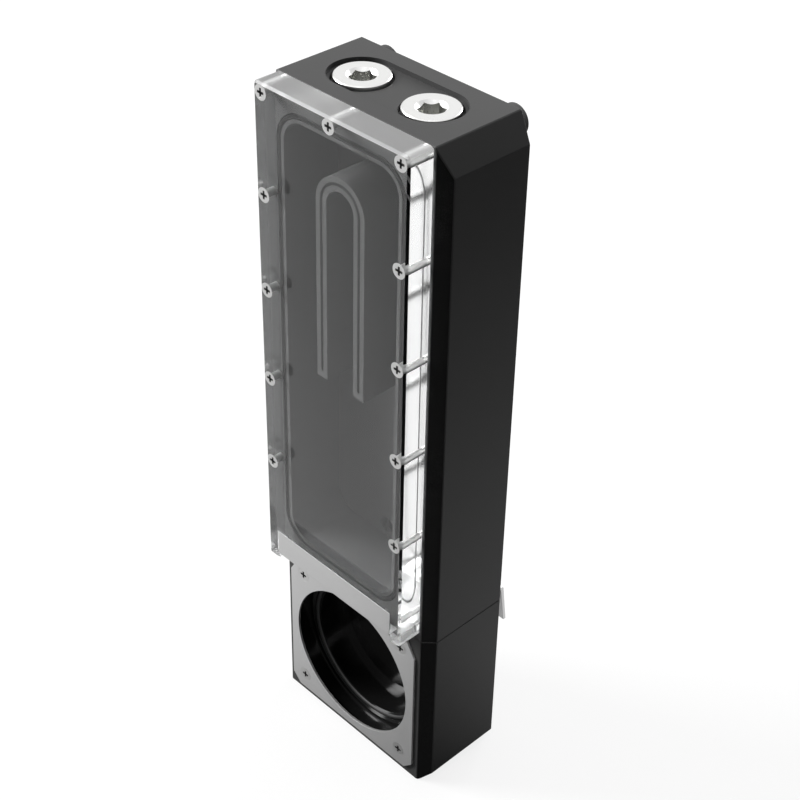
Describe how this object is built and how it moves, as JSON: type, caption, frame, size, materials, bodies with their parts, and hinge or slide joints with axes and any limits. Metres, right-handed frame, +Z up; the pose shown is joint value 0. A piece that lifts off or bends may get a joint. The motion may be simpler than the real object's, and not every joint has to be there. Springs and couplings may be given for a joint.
{
  "type": "coolant pump reservoir",
  "caption": "Tall black coolant reservoir block with a clear screwed window, screw plugs on top, and a stepped pump bay behind a folded steel retaining plate.",
  "frame": {"origin": "middle of the flat base face, half way between the front and back faces of the blocks", "axes": "+X across the window to the right as seen from the front, +Y from the window to the back, +Z up along the reservoir's height"},
  "size_m": [0.08, 0.0548, 0.27],
  "materials": {
    "block": "black acetal, milled, satin",
    "window": "clear cast acrylic, polished faces",
    "seal": "black rubber cord",
    "screw": "polished stainless steel",
    "plate": "fine blasted stainless sheet",
    "plug": "bright nickel plate",
    "bolt": "plain stainless steel",
    "bumper": "moulded black rubber"
  },
  "bodies": {
    "housing": {"reservoir_body": "block", "pump_housing": "block", "front_window": "window", "window_seal": "seal", "baffle_seal": "seal", "window_screws_left": "screw", "window_screws_right": "screw", "window_screw_top": "screw", "window_screws_lower": "screw", "pump_retaining_plate": "plate", "retaining_plate_screws": "screw", "suction_seal": "seal", "pump_seat_seal": "seal", "block_bolts": "bolt", "locating_dowels": "bolt", "hanging_hook": "plate", "hook_screws": "bolt", "rear_bumper_left": "bumper", "rear_bumper_right": "bumper", "bumper_screws": "bolt"},
    "left_plug_ring": {"plug_seal_left": "seal"},
    "left_plug": {"fill_plug_left": "plug"},
    "right_plug_ring": {"plug_seal_right": "seal"},
    "right_plug": {"fill_plug_right": "plug"}
  },
  "joints": [
    {"name": "left_plug_lift", "type": "slide", "parent": "housing", "child": "left_plug_ring", "axis": [0, 0, 1], "range_m": [0, 0.0067]},
    {"name": "left_plug_turn", "type": "hinge", "parent": "left_plug_ring", "child": "left_plug", "pos_m": [-0.0155, 0, 0.2663], "axis": [0, 0, 1], "range_deg": [0, 1800]},
    {"name": "right_plug_lift", "type": "slide", "parent": "housing", "child": "right_plug_ring", "axis": [0, 0, 1], "range_m": [0, 0.0067]},
    {"name": "right_plug_turn", "type": "hinge", "parent": "right_plug_ring", "child": "right_plug", "pos_m": [0.0155, 0, 0.2663], "axis": [0, 0, 1], "range_deg": [0, 1800]}
  ],
  "couplings": [
    {"joint": "left_plug_lift", "follows": "left_plug_turn", "m_per_rad": 0.00021279},
    {"joint": "right_plug_lift", "follows": "right_plug_turn", "m_per_rad": 0.00021279}
  ]
}
